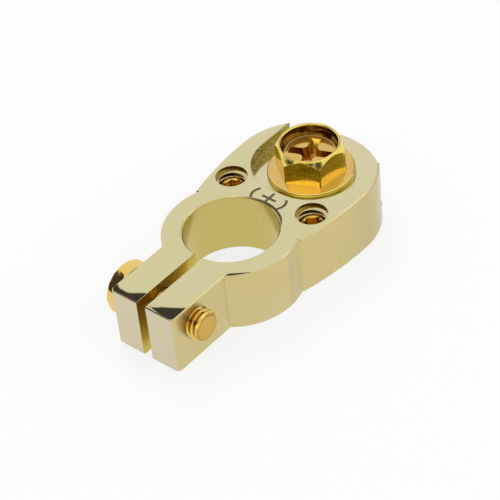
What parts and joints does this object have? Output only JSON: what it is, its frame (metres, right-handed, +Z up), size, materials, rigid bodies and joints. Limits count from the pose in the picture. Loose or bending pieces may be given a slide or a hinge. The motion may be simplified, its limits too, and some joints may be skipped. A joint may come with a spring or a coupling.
{
  "type": "battery terminal clamp",
  "caption": "Plated brass clamp for a battery post: a split ring with a pinch bolt, a flange bolt for a cable lug, and set screws over round wire bores.",
  "frame": {"origin": "on the axis of the post bore, at the block's flat underside", "axes": "+Z up along the post, +Y from the post towards the cable end, +X towards the ear that the pinch bolt is screwed into"},
  "size_m": [0.0282, 0.0589, 0.017],
  "materials": {
    "block_plating": "mirror-polished pale gold plating",
    "bolt_plating": "polished yellow gold plating"
  },
  "bodies": {
    "clamp_body": {"clamp_body": "block_plating"},
    "terminal_bolt": {"terminal_bolt": "bolt_plating"},
    "pinch_bolt": {"pinch_bolt": "bolt_plating"},
    "set_screw_left": {"set_screw_left": "bolt_plating"},
    "set_screw_right": {"set_screw_right": "bolt_plating"}
  },
  "joints": [
    {"name": "terminal_bolt_travel", "type": "slide", "parent": "clamp_body", "child": "terminal_bolt", "axis": [0, 0, 1], "range_m": [0, 0.00875]},
    {"name": "pinch_bolt_travel", "type": "slide", "parent": "clamp_body", "child": "pinch_bolt", "axis": [-1, 0, 0], "range_m": [0, 0.007]},
    {"name": "set_screw_left_travel", "type": "slide", "parent": "clamp_body", "child": "set_screw_left", "axis": [0, 0, 1], "range_m": [-0.002, 0.003]},
    {"name": "set_screw_right_travel", "type": "slide", "parent": "clamp_body", "child": "set_screw_right", "axis": [0, 0, 1], "range_m": [-0.002, 0.003]}
  ]
}
